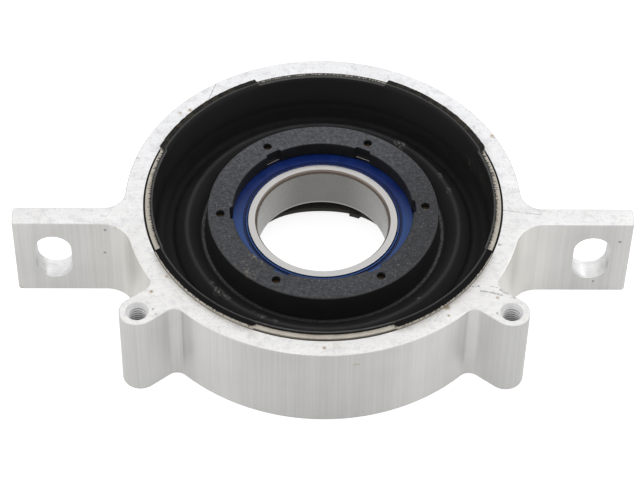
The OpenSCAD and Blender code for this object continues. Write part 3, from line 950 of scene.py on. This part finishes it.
def rubber_profile():
    """Section of the moulding, from its upper rim inwards and back below."""
    hollow_r = 1.0
    points = [(52.1, 14.6, 0.0, "")]
    points += [(*bare, 0.0, tag) for tag, (bare, _) in RIM.items()]
    points += [(51.35, 15.6, 0.0, ""), (51.15, 10.0, 0.0, "")]
    points += [(r, z, 0.0, "") for r, z in arc((48.0, 6.1), 3.1, 5, -85, 13)]
    points += [
        (45.6, 3.0, 1.8, "lobe"),
        (LOBE_R, 6.45, 1.5, "lobe"),
        (37.4, 2.9, 0.4, ""),
        (37.05, 2.9, 0.05, ""),
        (36.95, 3.15, 0.08, "flash"),
        (36.55, 3.25, 0.0, "flash"),
        (36.15, 3.15, 0.08, "flash"),
        (35.95, 3.1, 0.1, ""),
        (35.5, 7.5, 0.0, ""),
        (35.0, 11.75, 0.3, ""),
        (34.7, HUB_TOP, 0.3, ""),
        (33.0, HUB_TOP, 0.0, "face"),
        (29.6, HUB_TOP, 0.0, "face"),
        (27.4, HUB_TOP, 0.25, "notch"),
        (27.4, 8.95, 0.0, "notch"),
        (27.4, 8.85, 0.0, "notch_low"),
        (27.4, 7.5, 0.1, "notch_low"),
        (28.1, 7.5, 0.0, "notch_rear"),
        (28.1, HUB_SEAT, 0.0, "notch_rear"),
        (30.5, HUB_SEAT, 0.0, ""),
        (35.2, HUB_SEAT, 0.0, ""),
        (35.2, -HUB_SEAT, 0.0, ""),
        (32.55, -HUB_SEAT, 0.0, ""),
        (28.15, -10.8, 0.4, ""),
        (LIP_R, -10.8, 0.3, "lip"),
        (LIP_R, HUB_BOTTOM, 0.3, "lip"),
        (35.6, HUB_BOTTOM, 0.2, ""),
        (36.0, HUB_BOTTOM + 0.4, 0.2, ""),
        (36.0, -2.8, 0.5, ""),
        (38.1, -0.4, 0.5, ""),
        (LOBE_R - hollow_r, -0.4, 0.2, ""),
    ]
    points += [(r, z, 0.0, "") for r, z in arc((LOBE_R, LOBE_Z), hollow_r, 180, 0, 11)]
    points += [(LOBE_R + hollow_r, -0.4, 0.2, "")]
    points += [(r, z, 0.0, "") for r, z in arc((48.35, -2.9), 2.5, 90, 0, 7)]
    points += [(52.0, -10.0, 0.2, ""), (52.1, -10.0, 0.0, "")]
    return rounded(points, 8)


def rubber_shape(r, z, tag, angle):
    """Moves the section's points at an angle: laps, notches, the lip's lobes and tag, small unevenness."""
    turn = math.radians(angle)
    place = Vector((math.cos(turn), math.sin(turn), 0))
    if tag in RIM:
        lap = in_sector(angle, *TAB_SECTORS)
        bare, over = RIM[tag]
        r = bare[0] + (over[0] - bare[0]) * lap
        z = bare[1] + (over[1] - bare[1]) * lap
        if tag in ("rim_a", "rim_b", "rim_c"):
            short = 0.15 * in_sector(angle, *SHORT_LAP)
            r += lap * (0.2 * noise.noise(place * 60) - short)
        else:
            z += 0.04 * noise.noise(place * 14)
    elif tag == "notch":
        r += 0.9 * in_sector(angle, *NOTCH_SECTORS)
    elif tag in ("notch_low", "notch_rear"):
        notch = in_sector(angle, *NOTCH_SECTORS)
        r += (0.62 if tag == "notch_low" else 0.25) * notch
        z += 0.55 * notch * (z < 8)
    elif tag == "lip":
        r += 2.4 * math.sin(1.5 * math.radians(angle - 90)) ** 2
        r -= 1.0 * in_sector(angle, *LIP_TAG)
    elif tag == "flash":
        z += 0.15 * noise.noise(place * 22)
        r += 0.15 * noise.noise(place * 17)
    elif tag == "lobe":
        dent = 0.35 * math.exp(-((away(angle, 1.5) / 1.3) ** 2))
        z += 0.07 * noise.noise(place * 2.2)
        z -= dent * step(LOBE_R - abs(r - LOBE_R), 38.6, 41.0)
    return r, z


def pin_cutter():
    """Object that fills the hub's pin holes up to their flared mouths."""
    steps = [
        (PIN_R, PIN_FLOOR),
        (PIN_R, HUB_TOP - 0.3),
        (PIN_R + 0.1, HUB_TOP - 0.1),
        (PIN_R + 0.4, HUB_TOP + 0.2),
    ]
    bm = bmesh.new()
    for angle in PIN_ANGLES:
        turn = math.radians(angle)
        centre = (PIN_CIRCLE_R * math.cos(turn), PIN_CIRCLE_R * math.sin(turn))
        stack = []
        for r, z in steps:
            stack.append(ring_of(bm, [(x, y, z) for x, y in arc(centre, r, 0, 360, 25)[:-1]]))
        skin(bm, stack, 0)
        bm.faces.new(stack[0])
        bm.faces.new(stack[-1])
    return mesh_object("pin_cutter", bm)


def rubber_piece():
    """Moulded rubber with its bellows, hub, notches and pin holes."""
    angles = set()
    for sectors in (TAB_SECTORS, NOTCH_SECTORS, LIP_TAG):
        angles |= set(even_angles(360, *sectors))
    bm = bmesh.new()
    lathe(bm, rubber_profile(), sorted(angles), rubber_shape)
    obj = mesh_object("rubber_bellows", bm)
    drill = pin_cutter()
    cut = obj.modifiers.new("pins", "BOOLEAN")
    cut.operation = "DIFFERENCE"
    cut.solver = "EXACT"
    cut.object = drill
    bpy.context.view_layer.update()
    result = bpy.data.meshes.new_from_object(obj.evaluated_get(bpy.context.evaluated_depsgraph_get()))
    obj.modifiers.clear()
    obj.data = result
    result.set_sharp_from_angle(angle=math.radians(SMOOTH_ANGLE))
    bpy.data.objects.remove(drill)
    return obj


def seal_piece(name, flip):
    """Seal with a rounded running lip, a groove and a stepped body."""
    points = [
        (22.95, 5.95, 0.1, ""),
        (31.15, 5.95, 0.1, ""),
        (31.15, 7.1, 0.15, ""),
        (30.4, 7.2, 0.2, ""),
        (24.5, 7.1, 0.15, ""),
        (24.35, 6.65, 0.12, ""),
        (23.6, 6.6, 0.12, ""),
        (23.48, 7.15, 0.12, ""),
        (23.05, 7.15, 0.12, ""),
        (22.98, 6.7, 0.12, ""),
    ]
    if flip:
        points = [(r, -z, radius, tag) for r, z, radius, tag in reversed(points)]
    bm = bmesh.new()
    lathe(bm, rounded(points), even_angles(180))
    return mesh_object(name, bm)


def race_piece():
    """Inner race with rounded chamfers, end faces and ball groove."""
    groove = [(r, z, 0.0, "") for r, z in arc((GROOVE_FLOOR + GROOVE_R, 0), GROOVE_R, 232, 128, 24)]
    points = [
        (20.0, -6.8, 0.15, ""),
        (20.7, -7.5, 0.15, ""),
        (22.8, -7.5, 0.2, ""),
        (22.8, -5.8, 0.1, ""),
        (24.6, -5.8, 0.15, ""),
        *groove,
        (24.6, 5.8, 0.15, ""),
        (22.8, 5.8, 0.1, ""),
        (22.8, 7.5, 0.2, ""),
        (20.7, 7.5, 0.1, ""),
        (20.3, 7.05, 0.3, ""),
        (20.0, 6.3, 0.3, ""),
    ]
    bm = bmesh.new()
    lathe(bm, rounded(points), even_angles(240))
    return mesh_object("inner_race_ground", bm)


def dress(piece, body, slot, material, *replaced):
    """Gives a piece its material, if one is named, ties it to its body and hides the nodes it replaces;
    the slot is not used.
    """
    if material:
        piece.data.materials.clear()
        piece.data.materials.append(material)
    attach(piece, body)
    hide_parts(*replaced)


def blend_rubber(piece):
    """Bakes the rubber's transform into its mesh and keeps each point's rest place in an attribute."""
    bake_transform(piece)
    count = len(piece.data.vertices)
    places = np.empty(count * 3, np.float32)
    piece.data.vertices.foreach_get("co", places)
    rest = piece.data.attributes.new(REST_PLACE, "FLOAT_VECTOR", "POINT")
    rest.data.foreach_set("vector", places)


def paint(material, *names):
    """Gives CAD nodes a material."""
    for name in names:
        obj = nodes[name]
        obj.data.materials.clear()
        obj.data.materials.append(material)
        obj.data.polygons.foreach_set("material_index", [0] * len(obj.data.polygons))


housing = housing_piece()
dress(housing, "mount", "aluminium", None, "housing")
sleeve = sleeve_piece()
sleeve_coat = coated_look("sleeve_coat", (0.56, 0.52, 0.45), True)
dress(sleeve, "mount", "sleeve_steel", sleeve_coat, "outer_sleeve")
rubber = rubber_piece()
rubber.data.materials.clear()
rubber.data.materials.append(rubber_look())
blend_rubber(rubber)
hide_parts("rubber_isolator")
blue = seal_look()
dress(seal_piece("seal_face_upper", False), "hub", "blue_rubber", blue, "seal_upper")
dress(seal_piece("seal_face_lower", True), "hub", "blue_rubber", blue, "seal_lower")
race = race_piece()
race_ground = steel_look("race_ground", (0.58, 0.573, 0.565), 0.22, 0.3, True)
dress(race, "inner_race", "race_steel", race_ground, "inner_race")

balls = [name for name in nodes if name.startswith("ball_")]
paint(coated_look("carrier_coat", (0.62, 0.57, 0.44), False), "carrier_ring")
paint(steel_look("race_outer", (0.7, 0.7, 0.7), 0.22, 0.3, False), "outer_race")
paint(steel_look("cage_steel", (0.55, 0.5, 0.42), 0.3, 0.42, False), "cage_upper", "cage_lower")
paint(steel_look("rivet_steel", (0.6, 0.58, 0.55), 0.3, 0.42, False), "cage_rivets")
paint(steel_look("ball_steel", (0.8, 0.8, 0.8), 0.06, 0.1, False), *balls)


def shown(tree, lit, mirrored, seen):
    """Strength for rays that light the scene, for rays mirrored in it and for rays of the camera."""
    path = tree.nodes.new("ShaderNodeLightPath")
    shares = {"Is Glossy Ray": mirrored, "Is Transmission Ray": mirrored, "Is Camera Ray": seen}
    total = None
    for kind, share in shares.items():
        more = tree.nodes.new("ShaderNodeMath")
        more.operation = "MULTIPLY_ADD"
        tree.links.new(path.outputs[kind], more.inputs[0])
        more.inputs[1].default_value = share - lit
        if total:
            tree.links.new(total, more.inputs[2])
        else:
            more.inputs[2].default_value = lit
        total = more.outputs[0]
    return total


def floor_look():
    """Pale floor that shows white to the camera but keeps a soft shadow."""
    material = bpy.data.materials.new("floor_pale")
    material.use_nodes = True
    tree = material.node_tree
    tree.nodes.clear()
    out = tree.nodes.new("ShaderNodeOutputMaterial")
    both = tree.nodes.new("ShaderNodeAddShader")
    diffuse = tree.nodes.new("ShaderNodeBsdfDiffuse")
    diffuse.inputs["Color"].default_value = (0.5, 0.5, 0.5, 1)
    glow = tree.nodes.new("ShaderNodeEmission")
    glow.inputs["Color"].default_value = (1, 1, 1, 1)
    tree.links.new(shown(tree, 0.12, 0.58, 0.85), glow.inputs["Strength"])
    tree.links.new(diffuse.outputs[0], both.inputs[0])
    tree.links.new(glow.outputs[0], both.inputs[1])
    tree.links.new(both.outputs[0], out.inputs["Surface"])
    return material


def add_floor():
    """Round floor just below the housing, in metres."""
    floor_r, gap = 3.0, 0.0005
    bm = bmesh.new()
    bmesh.ops.create_circle(bm, cap_ends=True, segments=64, radius=floor_r)
    bmesh.ops.translate(bm, verts=bm.verts, vec=(0, 0, BOTTOM * MM - gap))
    floor = mesh_object("floor", bm)
    floor.data.materials.append(floor_look())


def add_world():
    """White surroundings that show brighter than they light."""
    world = bpy.data.worlds.new("studio")
    bpy.context.scene.world = world
    world.use_nodes = True
    tree = world.node_tree
    tree.nodes.clear()
    out = tree.nodes.new("ShaderNodeOutputWorld")
    background = tree.nodes.new("ShaderNodeBackground")
    background.inputs["Color"].default_value = (1, 1, 1, 1)
    tree.links.new(shown(tree, 0.6, 1.0, 1.0), background.inputs["Strength"])
    tree.links.new(background.outputs[0], out.inputs["Surface"])


def add_lamp(name, place, size, power):
    """Round lamp that faces the origin."""
    data = bpy.data.lights.new(name, "AREA")
    data.shape = "DISK"
    data.size = size
    data.energy = power
    lamp = link(bpy.data.objects.new(name, data))
    lamp.location = place
    lamp.rotation_euler = (-Vector(place)).to_track_quat("-Z", "Y").to_euler()


def add_camera():
    """Camera at the fitted place: tilted down, panned about the vertical and rolled about its own axis."""
    elevation, roll = math.radians(CAMERA_ELEVATION), math.radians(CAMERA_ROLL)
    turn = Matrix.Rotation(math.radians(CAMERA_PAN), 3, "Z")
    forward = turn @ Vector((0, math.cos(elevation), -math.sin(elevation)))
    right = turn @ Vector((1, 0, 0))
    up = turn @ Vector((0, math.sin(elevation), math.cos(elevation)))
    x_axis = right * math.cos(roll) + up * math.sin(roll)
    y_axis = up * math.cos(roll) - right * math.sin(roll)
    data = bpy.data.cameras.new("camera")
    data.sensor_fit = "HORIZONTAL"
    data.sensor_width = SENSOR_MM
    data.lens = FOCAL_PX * SENSOR_MM / PICTURE_WIDTH_PX
    data.clip_start = 0.01
    camera = link(bpy.data.objects.new("camera", data))
    axes = Matrix((x_axis, y_axis, -forward)).transposed().to_4x4()
    camera.matrix_world = Matrix.Translation(CAMERA_PLACE) @ axes
    bpy.context.scene.camera = camera


add_floor()
add_world()
add_lamp("key", (0.75, 0.2, 0.75), 1.0, 3.0)
add_lamp("fill", (-0.75, -0.05, 0.65), 1.0, 2.2)
add_camera()
bpy.context.scene.view_settings.view_transform = "Standard"
